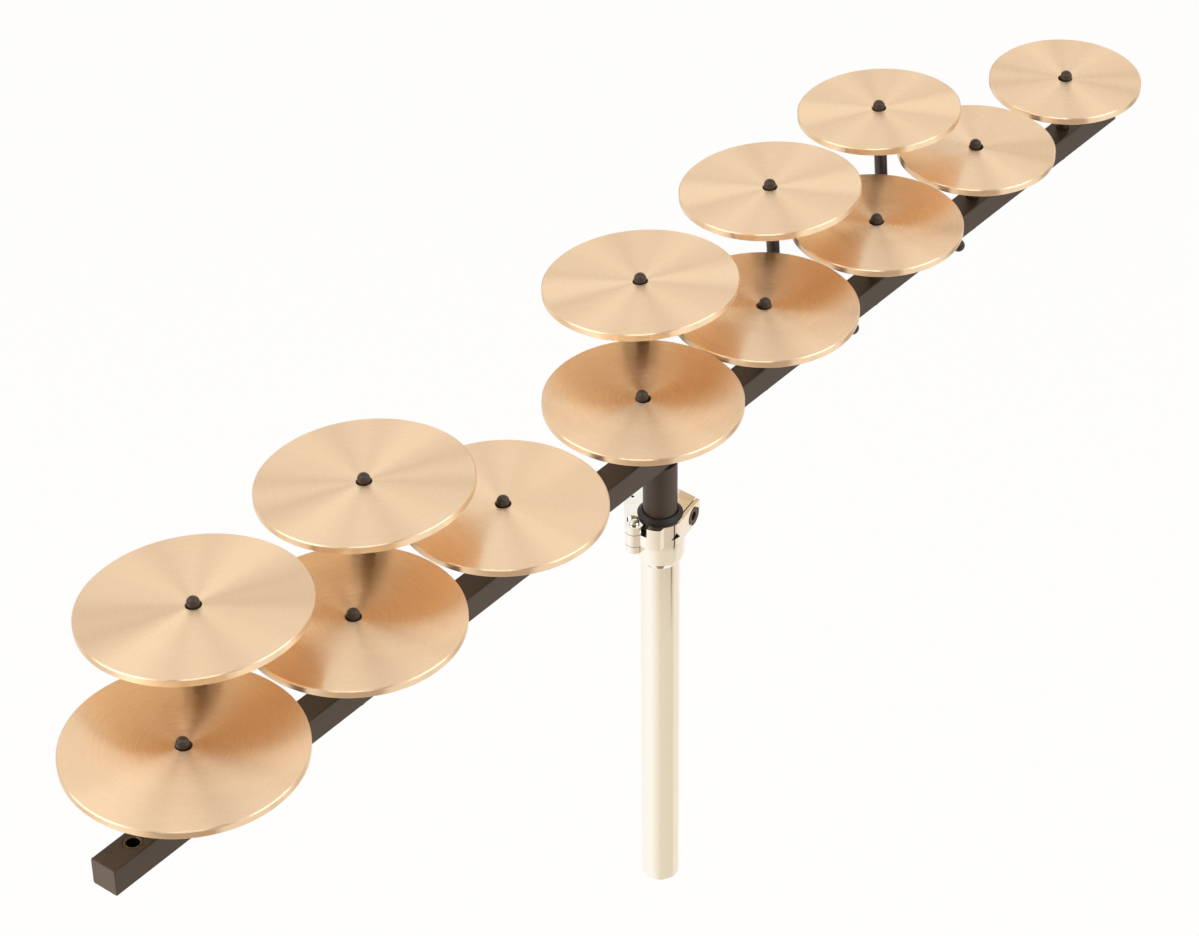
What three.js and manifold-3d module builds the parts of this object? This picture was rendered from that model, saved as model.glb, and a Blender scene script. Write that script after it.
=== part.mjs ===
// Crotales: an octave of thirteen tuned bronze discs on rod posts, on one square bar,
// with a centre post that slides and turns in the clamp of a chromed stand tube.
// Millimetres, +Z up, +X along the bar towards the high notes, +Y away from the player.
// The origin is on the axis of the stand tube, at its lower end.
import * as THREE from "three";
import { mergeVertices } from "three/addons/utils/BufferGeometryUtils.js";
import Module from "manifold-3d";

const wasm = await Module();
wasm.setup();

// Clearance between two pieces that touch, and how far a cutting shape overruns what it cuts.
// Points closer than a small share of the clearance are one point.
const clearance = 0.3;
const overrun = 1;
const samePointShare = 0.001;

// Discs. A diameter is a share of the lowest disc's, and a natural disc's gap to the next
// natural is a share of the widest gap. A raised disc's post stands between two naturals, at
// a share of the way from the lower one. A disc hangs loose on its tip and sits off centre by
// a share of the play: the plus side is towards the high notes and the player.
const lowDiscDiameter = 124;
const discThickness = 4.6;
const discEdgeChamfer = 0.6;
const discPlay = 0.85;
const widestGap = 6.3;
const offCentreDegrees = -52;
const notes = [
  { name: "c_low", diameterShare: 1, gapShare: 0.65, offCentreShare: 1 },
  { name: "c_sharp", diameterShare: 0.981, raised: true, placeShare: 0.458, offCentreShare: 0 },
  { name: "d", diameterShare: 0.939, gapShare: 0.56, offCentreShare: 0 },
  { name: "d_sharp", diameterShare: 0.938, raised: true, placeShare: 0.508, offCentreShare: 0 },
  { name: "e", diameterShare: 0.903, gapShare: 1, offCentreShare: 0 },
  { name: "f", diameterShare: 0.892, gapShare: 0.33, offCentreShare: 1 },
  { name: "f_sharp", diameterShare: 0.888, raised: true, placeShare: 0.489, offCentreShare: 0 },
  { name: "g", diameterShare: 0.867, gapShare: 0.5, offCentreShare: -1 },
  { name: "g_sharp", diameterShare: 0.846, raised: true, placeShare: 0.585, offCentreShare: 0 },
  { name: "a", diameterShare: 0.814, gapShare: 0.54, offCentreShare: 0 },
  { name: "a_sharp", diameterShare: 0.777, raised: true, placeShare: 0.621, offCentreShare: 0 },
  { name: "b", diameterShare: 0.759, gapShare: 0.71, offCentreShare: 1 },
  { name: "c_high", diameterShare: 0.744, offCentreShare: -1 },
];
const noteBesideCentrePost = "f";
const centrePostFromNote = 15.8;

// Rod posts: straight under the naturals, bent at the foot under the raised discs. The bend
// stops short of a right angle, so a raised post leans back with its disc.
const rodDiameter = 7.6;
const tipStep = 0.3;
const tipRise = 5;
const collarStep = 3.2;
const collarThickness = 2;
const washerDiameter = 20;
const washerThickness = 2;
const naturalPostRise = 30.7;
const raisedDiscRise = 29;
const raisedLeanDegrees = 4.4;
const rimClearance = 4.7;
const bendRadius = 14;
const rodProudBelow = 7.5;
const rodProudFront = 12.4;

// Bar.
const barWidth = 16.2;
const barHeight = 16.2;
const barCornerRadius = 1;
const barPastLowPost = 59.7;
const barPastHighPost = 49.7;
const insertFromBarEnd = 21;
const insertDiameter = 9.8;
const insertWall = 1.5;
const insertDepth = 10;

// Centre post, which carries the bar. It slides in the tube, and its spigot goes up into the bar.
const slideGap = 0.35;
const postShown = 34.1;
const postInTube = 108;
const barWallAtSpigot = 2.1;
const postSpigotLength = 9;
const postChamfer = 0.8;

// Stand tube.
const tubeDiameter = 22.2;
const tubeWall = 1;
const tubeLength = 258;
const tubeEdge = 0.3;

// Bushing in the clamp.
const bushingWall = 2.55;
const bushingRimRise = 2.4;
const bushingRimLand = 0.6;

// Clamp: a body on the tube's end, a jaw hinged to it, the hinge screw and the clamp screw.
// It is drawn with the split between its two ears along X, and then turned on the tube. Walls
// and reaches count from the bore that they go round. The split lies off the axis by a share of
// the bore's radius, and the lug, the ear and the window start at such shares beside it.
const clampTurnDegrees = 10;
const headHeight = 15;
const headFloor = 1;
const headWall = 6.6;
const headEndDegrees = 160;
const headArcStartDegrees = 116;
const backReach = 9.1;
const backFlatStart = -2.2;
const backFlatEnd = 11.3;
const earReach = 8.1;
const earBackReach = 11.1;
const earSide = 4;
const earRim = 1;
const splitShare = 0.884;
const lugStartShare = 0.426;
const skirtLength = 16.5;
const skirtWall = 2.5;
const skirtEndWall = 0.8;
const skirtTaper = 5;
const marginHoleDiameter = 1.8;
const marginHoleDepth = 4;
const marginHoleX = 4.8;
const marginHoleInset = 1.9;
const hingeFromBore = 3.9;
const hingeDegrees = 149;
const knuckleWall = 3.3;
const lowKnuckleDepth = 4.5;
const jawKnuckleShare = 0.527;
const topKnuckleShare = 0.333;
const jawDrop = 0.6;
const jawStartDegrees = 182;
const jawPadEndDegrees = 208;
const jawBandStartDegrees = 217;
const jawBandEndDegrees = 245;
const jawPadThickness = 4.3;
const jawBandThickness = 1.5;
const jawArmThickness = 4.1;
const earThickness = 2.3;
const earStartShare = -0.233;
const windowStartShare = -0.667;
const windowLength = 6;
const windowHeight = 4.1;
const windowAboveJawFoot = 4.1;
const hingePinDiameter = 3.2;
const hingeHeadStep = 1.3;
const hingeHeadThickness = 0.5;
const hingeHeadDome = 1.3;
const clampScrewDiameter = 5.6;
const clampScrewReach = 3.2;
const clampScrewHeadStep = 2.5;
const clampScrewHeadThickness = 0.9;
const clampScrewSwing = 0.9;

// How round the round pieces are.
const discSides = 36;
const rodSides = 12;
const domeSteps = 3;
const bendSteps = 5;
const tubeSides = 32;
const arcSteps = 6;

// Radii of what fits in what, from the tube and the rod outwards.
const tubeRadius = tubeDiameter / 2;
const postRadius = tubeRadius - tubeWall - slideGap;
const postSpigotRadius = barWidth / 2 - barWallAtSpigot;
const bushingBore = postRadius + clearance;
const bushingRadius = bushingBore + bushingWall;
const clampBore = bushingRadius + clearance;
const skirtBore = tubeRadius + clearance;
const rodRadius = rodDiameter / 2;
const tipRadius = rodRadius - tipStep;
const collarRadius = rodRadius + collarStep;
const discHoleRadius = tipRadius + discPlay;

// Levels, from the tube's lower end upwards.
const clampTop = tubeLength + headHeight;
const bushingTop = clampTop + bushingRimRise;
const barBottom = bushingTop + postShown;
const barTop = barBottom + barHeight;
const naturalSeat = barTop + naturalPostRise;
const raisedSeat = naturalSeat + raisedDiscRise;
const rodLevel = barBottom + barHeight / 2;

// A raised post, from its seat down along its lean to the top of its bend, and how far behind
// the bend's foot its seat is.
const lean = THREE.MathUtils.degToRad(raisedLeanDegrees);
const bendTurn = Math.PI / 2 - lean;
const bendDrop = (raisedSeat - rodLevel - bendRadius * (1 - Math.sin(lean))) / Math.cos(lean);
const bendSetback = bendRadius * Math.cos(lean) + bendDrop * Math.sin(lean);

const material = (color, roughness, metalness) =>
  new THREE.MeshStandardMaterial({ color, roughness, metalness });
const bronze = () => material(0xe6bf93, 0.32, 1);
const blackSteel = () => material(0x2b2622, 0.5, 0.4);
const chrome = () => material(0xdcd8d0, 0.08, 1);
const nylon = () => material(0x1b1816, 0.55, 0);
const felt = () => material(0x26221f, 0.95, 0);
const steel = () => material(0x8d8880, 0.35, 1);

function part(name, geometry, look) {
  const mesh = new THREE.Mesh(geometry, look);
  mesh.name = name;
  return mesh;
}

// A profile of [radius, height] points, turned about Z.
function turned(profile, sides) {
  const points = profile.map(([radius, height]) => new THREE.Vector2(radius, height));
  return new THREE.LatheGeometry(points, sides).rotateX(Math.PI / 2);
}

function ringProfile(inner, outer, bottom, top) {
  return [
    [inner, bottom],
    [outer, bottom],
    [outer, top],
    [inner, top],
    [inner, bottom],
  ];
}

function rodProfile(radius, bottom, top) {
  return [
    [0, bottom],
    [radius, bottom],
    [radius, top],
    [0, top],
  ];
}

function solid(geometry) {
  const bare = geometry.clone();
  bare.deleteAttribute("normal");
  bare.deleteAttribute("uv");
  const merged = mergeVertices(bare, clearance * samePointShare);
  const faces = [];
  const index = merged.index.array;
  for (let i = 0; i < index.length; i += 3) {
    const [a, b, c] = [index[i], index[i + 1], index[i + 2]];
    if (a !== b && b !== c && c !== a) faces.push(a, b, c);
  }
  return new wasm.Manifold(
    new wasm.Mesh({
      numProp: 3,
      vertProperties: new Float32Array(merged.getAttribute("position").array),
      triVerts: new Uint32Array(faces),
    }),
  );
}

function geometryOf(made) {
  const mesh = made.getMesh();
  const geometry = new THREE.BufferGeometry();
  const places = new THREE.BufferAttribute(new Float32Array(mesh.vertProperties), 3);
  geometry.setAttribute("position", places);
  geometry.setIndex(new THREE.BufferAttribute(new Uint32Array(mesh.triVerts), 1));
  const flat = geometry.toNonIndexed();
  flat.computeVertexNormals();
  return flat;
}

const uprightRod = (radius, bottom, top, sides) => solid(turned(rodProfile(radius, bottom, top), sides));

function slab(shape, bottom, top) {
  const depth = top - bottom;
  const options = { depth, bevelEnabled: false, curveSegments: arcSteps };
  return new THREE.ExtrudeGeometry(shape, options).translate(0, 0, bottom);
}

const radians = THREE.MathUtils.degToRad;

function onCircle(radius, degrees) {
  return [radius * Math.cos(radians(degrees)), radius * Math.sin(radians(degrees))];
}

function outline(points) {
  return new THREE.Shape(points.map(([x, y]) => new THREE.Vector2(x, y)));
}

// A shape drawn in X and Z, as thick along Y as from front to back.
function upright(shape, front, back) {
  const options = { depth: back - front, bevelEnabled: false, curveSegments: arcSteps };
  return new THREE.ExtrudeGeometry(shape, options).rotateX(Math.PI / 2).translate(0, back, 0);
}

// Where each disc stands. Naturals run outwards from the one beside the centre post.
function placeNotes() {
  for (const note of notes) note.radius = (lowDiscDiameter * note.diameterShare) / 2;
  const naturals = notes.filter((note) => !note.raised);
  let x = 0;
  naturals.forEach((note, i) => {
    const last = naturals[i - 1];
    if (last) x += last.radius + note.radius + widestGap * last.gapShare;
    note.x = x;
    note.y = 0;
  });
  const shift = naturals.find((note) => note.name === noteBesideCentrePost).x + centrePostFromNote;
  for (const note of naturals) note.x -= shift;
  const reach = rodRadius + rimClearance;
  let setback = bendSetback + barWidth / 2;
  notes.forEach((note, i) => {
    if (!note.raised) return;
    const [low, high] = [notes[i - 1], notes[i + 1]];
    note.x = THREE.MathUtils.lerp(low.x, high.x, note.placeShare);
    for (const beside of [low, high]) {
      const across = (beside.radius + reach) ** 2 - (note.x - beside.x) ** 2;
      if (across <= 0) continue;
      setback = Math.max(setback, Math.sqrt(across) + raisedDiscRise * Math.tan(lean));
    }
  });
  for (const note of notes) {
    if (note.raised) note.y = setback;
    note.seat = note.raised ? raisedSeat : naturalSeat;
  }
}

// Stands a piece of a note on its seat, leaning with its post.
function stood(note, name, geometry, look) {
  const mesh = part(name + note.name, geometry, look);
  mesh.position.set(note.x, note.y, note.seat);
  if (note.raised) mesh.rotation.x = -lean;
  return mesh;
}

function discMesh(note) {
  const hole = discHoleRadius;
  const bevel = discEdgeChamfer;
  const profile = [
    [hole, 0],
    [note.radius - bevel, 0],
    [note.radius, bevel],
    [note.radius, discThickness - bevel],
    [note.radius - bevel, discThickness],
    [hole, discThickness],
    [hole, 0],
  ];
  const [dx, dy] = onCircle((discPlay - clearance) * note.offCentreShare, offCentreDegrees);
  return stood(note, "disc_", turned(profile, discSides).translate(dx, dy, 0), bronze());
}

const washerTop = -clearance;
const collarTop = washerTop - washerThickness - clearance;

function washerMesh(note) {
  const bore = tipRadius + clearance;
  const profile = ringProfile(bore, washerDiameter / 2, washerTop - washerThickness, washerTop);
  return stood(note, "washer_", turned(profile, rodSides), felt());
}

function domeUp(radius, base) {
  const points = [];
  for (let i = 0; i <= domeSteps; i++) {
    const [across, up] = onCircle(radius, (90 * i) / domeSteps);
    points.push([i === domeSteps ? 0 : across, base + up]);
  }
  return points;
}

const domeDown = (radius, base) =>
  domeUp(radius, 0)
    .reverse()
    .map(([across, up]) => [across, base - up]);

// A straight post from its rounded foot to its rounded tip, with the disc's seat at height 0.
function postProfile(foot, bends) {
  return [
    ...domeDown(rodRadius, foot + rodRadius),
    ...bends.map((height) => [rodRadius, height]),
    [rodRadius, collarTop - collarThickness],
    [collarRadius, collarTop - collarThickness],
    [collarRadius, collarTop],
    [tipRadius, collarTop],
    ...domeUp(tipRadius, discThickness + tipRise - tipRadius),
  ];
}

const bendLength = bendRadius * bendTurn;

// Bends what lies below the bend's top towards the player.
function bendFoot(geometry) {
  const places = geometry.getAttribute("position");
  for (let i = 0; i < places.count; i++) {
    const below = -bendDrop - places.getZ(i);
    if (below <= 0) continue;
    const reach = bendRadius + places.getY(i);
    const turn = Math.min(below, bendLength) / bendRadius;
    const past = Math.max(below - bendLength, 0);
    places.setY(i, reach * Math.cos(turn) - bendRadius - past * Math.sin(bendTurn));
    places.setZ(i, -bendDrop - reach * Math.sin(turn) - past * Math.cos(bendTurn));
  }
  return geometry;
}

function postMesh(note) {
  let geometry;
  if (note.raised) {
    const straight = note.y - bendSetback + barWidth / 2 + rodProudFront;
    const bends = [];
    for (let i = bendSteps; i >= 0; i--) bends.push(-bendDrop - (bendLength * i) / bendSteps);
    const profile = postProfile(-bendDrop - bendLength - straight, bends);
    geometry = bendFoot(turned(profile, rodSides));
  } else {
    geometry = turned(postProfile(barBottom - rodProudBelow - note.seat, []), rodSides);
  }
  return stood(note, "post_", geometry, blackSteel());
}

// The square bar, bored up and down for straight posts and front to back for bent ones.
function barMesh() {
  const low = notes[0].x - barPastLowPost;
  const high = notes.at(-1).x + barPastHighPost;
  const [w, h, r] = [barWidth / 2, barHeight / 2, barCornerRadius];
  const section = new THREE.Shape();
  section.absarc(w - r, h - r, r, 0, Math.PI / 2);
  section.absarc(r - w, h - r, r, Math.PI / 2, Math.PI);
  section.absarc(r - w, r - h, r, Math.PI, Math.PI * 1.5);
  section.absarc(w - r, r - h, r, Math.PI * 1.5, Math.PI * 2);
  const options = { depth: high - low, bevelEnabled: false, curveSegments: 2 };
  const blank = new THREE.ExtrudeGeometry(section, options);
  const alongBar = new THREE.Matrix4().makeBasis(
    new THREE.Vector3(0, 1, 0),
    new THREE.Vector3(0, 0, 1),
    new THREE.Vector3(1, 0, 0),
  );
  blank.applyMatrix4(alongBar).translate(low, 0, barBottom + h);
  let bar = solid(blank);
  const bore = rodRadius + clearance;
  for (const note of notes) {
    const cut = turned(rodProfile(bore, -h - w - overrun, h + w + overrun), rodSides);
    if (note.raised) cut.rotateX(Math.PI / 2);
    bar = bar.subtract(solid(cut.translate(note.x, 0, barBottom + h)));
  }
  const seat = rodProfile(postSpigotRadius + clearance, barBottom - overrun, postSpigotTop + clearance);
  bar = bar.subtract(solid(turned(seat, tubeSides)));
  const insertX = low + insertFromBarEnd;
  const insertRadius = insertDiameter / 2;
  const insertFoot = barTop - insertDepth;
  const insertBore = rodProfile(insertRadius + clearance, insertFoot - clearance, barTop + overrun);
  bar = bar.subtract(solid(turned(insertBore, rodSides).translate(insertX, 0, 0)));
  const insertRing = ringProfile(insertRadius - insertWall, insertRadius, insertFoot, barTop);
  const insert = part("bar_end_insert", turned(insertRing, rodSides), steel());
  insert.position.set(insertX, 0, 0);
  return [part("bar", geometryOf(bar), blackSteel()), insert];
}

const postSpigotTop = barBottom - clearance + postSpigotLength;

function centrePostMesh() {
  const foot = tubeLength - postInTube;
  const shoulder = barBottom - clearance;
  const profile = [
    [0, foot],
    [postRadius - postChamfer, foot],
    [postRadius, foot + postChamfer],
    [postRadius, shoulder],
    [postSpigotRadius, shoulder],
    [postSpigotRadius, postSpigotTop],
    [0, postSpigotTop],
  ];
  return part("centre_post", turned(profile, tubeSides), blackSteel());
}

function tubeMesh() {
  const inner = tubeRadius - tubeWall;
  const profile = [
    [inner, 0],
    [tubeRadius - tubeEdge, 0],
    [tubeRadius, tubeEdge],
    [tubeRadius, tubeLength],
    [inner, tubeLength],
    [inner, 0],
  ];
  return part("stand_tube", turned(profile, tubeSides), chrome());
}

function bushingMesh() {
  const foot = tubeLength + clearance;
  const profile = [
    [bushingBore, foot],
    [bushingRadius, foot],
    [bushingRadius, clampTop],
    [bushingBore + bushingRimLand, bushingTop],
    [bushingBore, bushingTop],
    [bushingBore, foot],
  ];
  return part("bushing", turned(profile, tubeSides), nylon());
}

const boreWithin = clampBore - overrun;
const splitY = -clampBore * splitShare;
const lugStart = clampBore * lugStartShare;
const bandEnd = lugStart - clearance;
const earEnd = clampBore + earReach;
const knuckleRadius = hingePinDiameter / 2 + clearance + knuckleWall;
const [hingeX, hingeY] = onCircle(clampBore + hingeFromBore, hingeDegrees);
const jawFoot = tubeLength + clearance;
const jawKnuckleTop = jawFoot + headHeight * jawKnuckleShare;
const topKnuckleFoot = jawKnuckleTop + clearance;
const knuckleTop = topKnuckleFoot + headHeight * topKnuckleShare;
const clampScrewRadius = clampScrewDiameter / 2;
const clampScrewHeadRadius = clampScrewRadius + clampScrewHeadStep;
const earRound = clampScrewHeadRadius + clampScrewSwing + earRim;
const clampScrewX = earEnd - earRound;
const clampScrewLevel = jawFoot + earRound;

const atHinge = (radius, bottom, top) =>
  uprightRod(radius, bottom, top, tubeSides / 2).translate([hingeX, hingeY, 0]);

// A rod along Y at the clamp screw's place, from front to back.
function atScrew(radius, front, back) {
  const rod = turned(rodProfile(radius, -back, -front), tubeSides / 2).rotateX(Math.PI / 2);
  return solid(rod.translate(clampScrewX, 0, clampScrewLevel));
}

function clampBodyMesh() {
  const back = clampBore + backReach;
  const head = outline([
    [lugStart, splitY],
    [earEnd, splitY],
    [clampBore + earBackReach, earSide],
    [backFlatEnd, back],
    [backFlatStart, back],
  ]);
  const headRadius = clampBore + headWall;
  head.absarc(0, 0, headRadius, radians(headArcStartDegrees), radians(headEndDegrees));
  head.absarc(0, 0, boreWithin, radians(headEndDegrees), -Math.acos(lugStart / boreWithin), true);
  const skirt = skirtBore + skirtWall;
  const foot = tubeLength - skirtLength;
  const skirtProfile = [
    [skirtBore, foot],
    [skirtBore + skirtEndWall, foot],
    [skirt, foot + skirtTaper],
    [skirt, tubeLength],
    [skirtBore, tubeLength],
    [skirtBore, foot],
  ];
  const [marginX, marginY] = [marginHoleX, back - marginHoleInset];
  const marginTop = clampTop + overrun;
  const marginHole = uprightRod(
    marginHoleDiameter / 2,
    clampTop - marginHoleDepth,
    marginTop,
    rodSides,
  ).translate([marginX, marginY, 0]);
  const made = solid(slab(head, tubeLength - headFloor, clampTop))
    .subtract(uprightRod(skirt - overrun, tubeLength - headFloor - overrun, tubeLength + overrun, tubeSides))
    .add(solid(turned(skirtProfile, tubeSides)))
    .add(atHinge(knuckleRadius, tubeLength - lowKnuckleDepth, tubeLength))
    .add(atHinge(knuckleRadius, topKnuckleFoot, knuckleTop))
    .subtract(atHinge(knuckleRadius + clearance, tubeLength, topKnuckleFoot))
    .subtract(atHinge(knuckleRadius, knuckleTop, clampTop + overrun))
    .subtract(uprightRod(skirtBore, foot - overrun, tubeLength + overrun, tubeSides))
    .subtract(uprightRod(clampBore, tubeLength, clampTop + overrun, tubeSides))
    .subtract(atHinge(hingePinDiameter / 2 + clearance, foot, clampTop + overrun))
    .subtract(
      atScrew(clampScrewRadius + clearance, splitY - overrun, splitY + clampScrewReach + clearance),
    )
    .subtract(marginHole);
  return part("clamp_body", geometryOf(made), chrome());
}

function clampJawMesh() {
  const earBack = splitY - clearance;
  const earFront = earBack - earThickness;
  const top = clampTop - jawDrop;
  const band = new THREE.Shape();
  band.absarc(0, 0, clampBore + jawPadThickness, radians(jawStartDegrees), radians(jawPadEndDegrees));
  band.absarc(0, 0, clampBore + jawBandThickness, radians(jawBandStartDegrees), radians(jawBandEndDegrees));
  band.lineTo(clampBore * earStartShare, earFront);
  band.lineTo(earEnd, earFront);
  band.lineTo(earEnd, earBack);
  band.lineTo(bandEnd, earBack);
  band.absarc(0, 0, boreWithin, -Math.acos(bandEnd / boreWithin), radians(jawStartDegrees), true);
  const arm = new THREE.Shape();
  arm.absarc(0, 0, clampBore + jawArmThickness, radians(hingeDegrees), radians(jawPadEndDegrees));
  arm.absarc(0, 0, boreWithin, radians(jawPadEndDegrees), radians(hingeDegrees), true);
  const past = earEnd + overrun;
  const earCut = outline([
    [clampScrewX, jawFoot - overrun],
    [past, jawFoot - overrun],
    [past, clampScrewLevel],
  ]);
  earCut.absarc(clampScrewX, clampScrewLevel, earRound, 0, -Math.PI / 2, true);
  const sill = jawFoot + windowAboveJawFoot;
  const windowStart = clampBore * windowStartShare;
  const jawWindow = outline([
    [windowStart, sill],
    [windowStart + windowLength, sill],
    [windowStart + windowLength / 2, sill + windowHeight],
  ]);
  const shank = clampScrewRadius + clampScrewSwing;
  const headHole = clampScrewHeadRadius + clampScrewSwing;
  const headSeat = earFront + clampScrewHeadThickness + clearance;
  const made = solid(slab(band, jawFoot, top))
    .add(solid(slab(arm, jawFoot, jawKnuckleTop)))
    .add(atHinge(knuckleRadius, jawFoot, jawKnuckleTop))
    .subtract(uprightRod(clampBore, jawFoot - overrun, top + overrun, tubeSides))
    .subtract(atHinge(hingePinDiameter / 2 + clearance, jawFoot - overrun, top + overrun))
    .subtract(solid(upright(earCut, earFront - overrun, earBack + overrun)))
    .subtract(solid(upright(jawWindow, earFront - overrun, splitY / 2)))
    .subtract(atScrew(shank, earFront, earBack + overrun))
    .subtract(atScrew(headHole, earFront - overrun, headSeat));
  return part("clamp_jaw", geometryOf(made), chrome());
}

function hingeScrewMesh() {
  const pin = hingePinDiameter / 2;
  const head = pin + hingeHeadStep;
  const under = knuckleTop + clearance;
  const crown = under + hingeHeadThickness;
  const profile = [
    [0, tubeLength - lowKnuckleDepth],
    [pin, tubeLength - lowKnuckleDepth],
    [pin, under],
    [head, under],
    ...domeUp(head, 0).map(([across, up]) => [across, crown + (up * hingeHeadDome) / head]),
  ];
  const mesh = part("hinge_screw", turned(profile, rodSides), chrome());
  mesh.position.set(hingeX, hingeY, 0);
  return mesh;
}

function clampScrewMesh() {
  const earFront = splitY - clearance - earThickness;
  const under = clampScrewHeadThickness;
  const end = splitY + clampScrewReach - earFront;
  const profile = [
    [0, 0],
    [clampScrewHeadRadius, 0],
    [clampScrewHeadRadius, under],
    [clampScrewRadius, under],
    [clampScrewRadius, end],
    [0, end],
  ];
  const mesh = part("clamp_screw", turned(profile, rodSides).rotateX(-Math.PI / 2), blackSteel());
  mesh.position.set(clampScrewX, earFront, clampScrewLevel);
  return mesh;
}

placeNotes();

const clamp = new THREE.Group();
clamp.rotation.z = radians(clampTurnDegrees);
clamp.add(clampBodyMesh(), clampJawMesh(), hingeScrewMesh(), clampScrewMesh());

const group = new THREE.Group();
group.add(tubeMesh(), bushingMesh(), centrePostMesh(), ...barMesh(), clamp);
for (const note of notes) group.add(postMesh(note), washerMesh(note), discMesh(note));

export default group;
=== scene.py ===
# %% [markdown]
# # Crotales on a bar
# Crotales are small, thick bronze discs, each tuned to one note and struck with a hard mallet.
# This set is an octave of thirteen in keyboard order: eight naturals over a square black bar, and
# five raised ones behind them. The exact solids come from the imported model. Here each piece gets
# the fine shape and the finish that the camera sees.

import math

import bmesh
import bpy
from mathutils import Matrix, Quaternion, Vector


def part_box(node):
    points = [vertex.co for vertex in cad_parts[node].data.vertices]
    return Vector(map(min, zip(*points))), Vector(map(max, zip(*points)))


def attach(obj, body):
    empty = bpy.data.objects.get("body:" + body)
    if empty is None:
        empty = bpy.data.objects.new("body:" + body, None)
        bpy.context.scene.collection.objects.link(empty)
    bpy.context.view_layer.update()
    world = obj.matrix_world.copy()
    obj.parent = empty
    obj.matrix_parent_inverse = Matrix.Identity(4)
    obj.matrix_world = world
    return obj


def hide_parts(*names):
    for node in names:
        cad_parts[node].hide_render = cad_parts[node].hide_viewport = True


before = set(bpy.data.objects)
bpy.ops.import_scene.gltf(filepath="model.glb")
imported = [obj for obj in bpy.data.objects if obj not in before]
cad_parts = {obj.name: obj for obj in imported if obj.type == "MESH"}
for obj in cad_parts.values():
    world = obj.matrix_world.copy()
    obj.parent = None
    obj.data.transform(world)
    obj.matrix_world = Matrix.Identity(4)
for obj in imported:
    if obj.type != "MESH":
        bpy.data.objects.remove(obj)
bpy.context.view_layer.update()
MM = 0.001
notes = [name[len("disc_"):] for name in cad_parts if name.startswith("disc_")]
print(len(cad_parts), "nodes;", len(notes), "notes:", ", ".join(notes))

# %% [markdown]
# ## Colours and nodes
# A colour is written as its sRGB hex value, as a paint or a photograph gives it, and turned into
# the linear value that light adds up in. One helper adds a shader node with its settings and its
# links, so that a material below reads as a short list of steps.

# %% Helpers for materials


def linear(hex_colour):
    parts = [int(hex_colour[i:i + 2], 16) / 255 for i in (0, 2, 4)]
    curve = [p / 12.92 if p <= 0.04045 else ((p + 0.055) / 1.055) ** 2.4 for p in parts]
    return (*curve, 1.0)


def add_node(tree, kind, inputs=None, **settings):
    """Adds a shader node. A value in inputs that is a socket is linked, and any other is set."""
    node = tree.nodes.new("ShaderNode" + kind)
    for name, value in settings.items():
        setattr(node, name, value)
    for name, value in (inputs or {}).items():
        if isinstance(value, bpy.types.NodeSocket):
            tree.links.new(value, node.inputs[name])
        else:
            node.inputs[name].default_value = value
    return node


def colour_steps(tree, share, steps):
    """Turns a value into a colour through steps of (value, sRGB hex), and gives its socket."""
    ramp = add_node(tree, "ValToRGB", {"Fac": share})
    band = ramp.color_ramp
    while len(band.elements) < len(steps):
        band.elements.new(0.5)
    for element, (place, _) in zip(band.elements, steps):
        element.position = place
    for element, (_, hex_colour) in zip(band.elements, steps):
        element.color = linear(hex_colour)
    return ramp.outputs["Color"]


def start_material(name):
    material = bpy.data.materials.new(name)
    material.use_nodes = True
    tree = material.node_tree
    return material, tree, tree.nodes["Principled BSDF"]


def per_mm(size_mm):
    """The texture scale at which one cell of a pattern is that many millimetres wide."""
    return 1 / (size_mm * MM)


print("bronze FFE9CA is linear", [round(c, 3) for c in linear("FFE9CA")[:3]])

# %% [markdown]
# ## Turned bronze
# A crotale is cast in bell bronze, about four parts of copper to one of tin, and faced in a lathe.
# The tool leaves fine rings round the middle. They spread a reflection across the rings and keep
# it sharp along them, so the light gathers in pale wedges that run from the hole to the rim. The
# shader's anisotropy does this, with a tangent that runs round the disc, turned by a quarter. The
# real rings are 0.1 to 0.2 mm apart, too fine to show, so they are drawn 0.7 mm apart.

# %% Turned bronze
RING_MM = 0.7
RING_HEIGHT_MM = 0.02
RING_ROUGHNESS = (0.27, 0.305)
STAIN_MM = 45
STAIN_STRENGTH = 0.15


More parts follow.
